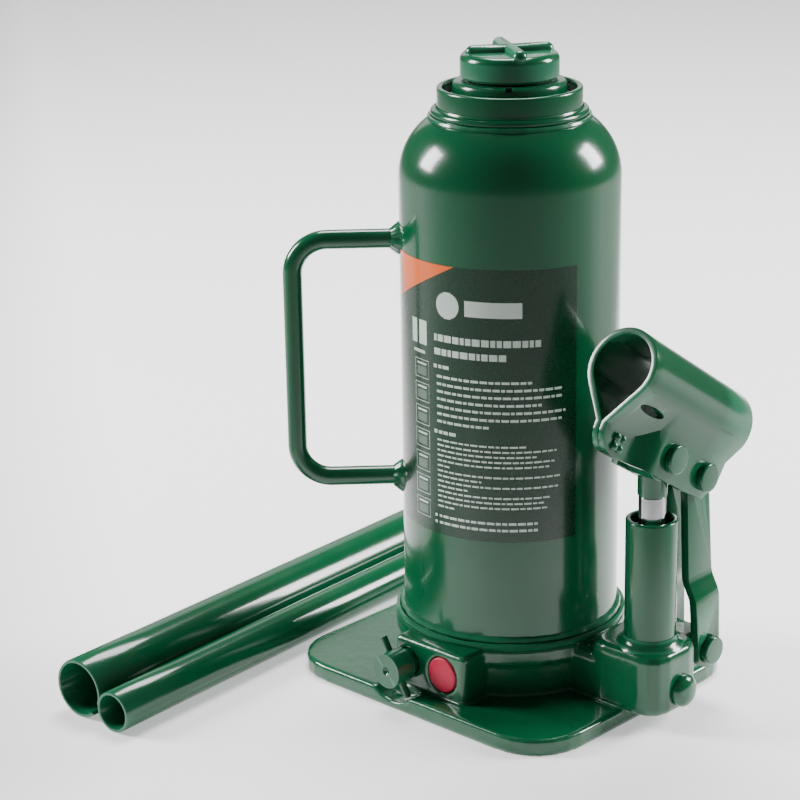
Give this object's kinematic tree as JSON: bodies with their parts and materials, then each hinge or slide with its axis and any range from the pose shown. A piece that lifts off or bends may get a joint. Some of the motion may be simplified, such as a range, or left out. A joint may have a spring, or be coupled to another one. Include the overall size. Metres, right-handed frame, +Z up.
{
  "type": "hydraulic bottle jack",
  "caption": "Hydraulic bottle jack with pump lever, extension screw, carrying handle and loose handle tubes.",
  "frame": {"origin": "point under the ram axis on the flat foot of the base", "axes": "+Z up along the ram, +X towards the hand pump, -Y towards the release valve"},
  "size_m": [0.1922, 0.2608, 0.2265],
  "materials": {
    "green_enamel": "gloss green enamel",
    "green_casting": "gloss green enamel over a rough casting",
    "machined_steel": "machined steel",
    "chromed_steel": "hard chrome",
    "black_steel": "black oxide spring steel",
    "rubber": "oil resistant rubber",
    "red_plastic": "crimson moulded cap"
  },
  "bodies": {
    "body": {"base_casting": "green_casting", "reservoir_shell": "green_enamel", "reservoir_base_seal": "rubber", "cylinder_base_gasket": "rubber", "cylinder_top_gasket": "rubber", "main_cylinder": "machined_steel", "top_nut": "green_enamel", "ram_wiper_seal": "rubber", "pump_barrel": "green_enamel", "plunger_packing": "rubber", "carry_handle": "green_enamel", "overload_cap": "red_plastic", "overload_screw": "machined_steel", "overload_spring": "machined_steel", "overload_ball": "machined_steel", "inlet_ball": "machined_steel", "outlet_ball": "machined_steel", "release_ball": "machined_steel", "passage_plug": "green_casting", "oil_filler_plug": "rubber", "link_bottom_pin": "green_enamel", "link_bottom_clip": "black_steel"},
    "ram": {"ram_tube": "green_enamel", "ram_cup_seal": "rubber", "ram_piston_washer": "machined_steel", "ram_retaining_nut": "machined_steel"},
    "screw_stop": {"screw_stop_washer": "machined_steel"},
    "extension": {"extension_screw": "machined_steel", "saddle": "green_casting"},
    "link": {"link_plate_outer": "green_enamel", "link_plate_inner": "green_enamel"},
    "lever": {"handle_socket": "green_enamel", "link_top_pin": "green_enamel", "link_top_clip": "black_steel", "plunger_pin": "green_enamel", "plunger_clip": "black_steel", "socket_rivet": "green_enamel"},
    "plunger": {"pump_plunger": "chromed_steel", "plunger_cup_seal": "rubber"},
    "release_valve": {"release_valve_screw": "green_enamel", "release_valve_cross_pin": "green_enamel", "release_o_ring": "rubber"},
    "lower_tube": {"handle_lower_tube": "green_enamel"},
    "upper_tube": {"handle_upper_tube": "green_enamel"}
  },
  "joints": [
    {"name": "ram_slide", "type": "slide", "parent": "body", "child": "ram", "axis": [0, 0, 1], "range_m": [0, 0.14]},
    {"name": "screw_rise", "type": "slide", "parent": "ram", "child": "screw_stop", "axis": [0, 0, 1], "range_m": [0, 0.07]},
    {"name": "screw_turn", "type": "hinge", "parent": "screw_stop", "child": "extension", "pos_m": [0, 0, 0.2], "axis": [0, 0, 1], "range_deg": [0, 6300]},
    {"name": "link_swing", "type": "hinge", "parent": "body", "child": "link", "pos_m": [0.063, 0.022, 0.02], "axis": [1, 0, 0], "range_deg": [-4, 2]},
    {"name": "lever_pump", "type": "hinge", "parent": "link", "child": "lever", "pos_m": [0.063, 0.0175, 0.0848], "axis": [1, 0, 0], "range_deg": [-8, 34]},
    {"name": "plunger_stroke", "type": "slide", "parent": "body", "child": "plunger", "axis": [0, 0, 1], "range_m": [-0.0105, 0.003]},
    {"name": "release_turn", "type": "hinge", "parent": "body", "child": "release_valve", "pos_m": [-0.007, -0.047, 0.015], "axis": [0, -1, 0], "range_deg": [0, 360]},
    {"name": "lower_tube_pull", "type": "slide", "parent": "body", "child": "lower_tube", "axis": [-0.0698, 0.9976, 0], "range_m": [0, 0.15]},
    {"name": "upper_tube_pull", "type": "slide", "parent": "body", "child": "upper_tube", "axis": [-0.0698, 0.9976, 0], "range_m": [0, 0.15]}
  ],
  "couplings": [
    {"joint": "screw_rise", "follows": "screw_turn", "m_per_rad": 0.00063662},
    {"joint": "link_swing", "follows": "lever_pump", "ratio": -0.1014},
    {"joint": "plunger_stroke", "follows": "lever_pump", "m_per_rad": -0.016876}
  ]
}
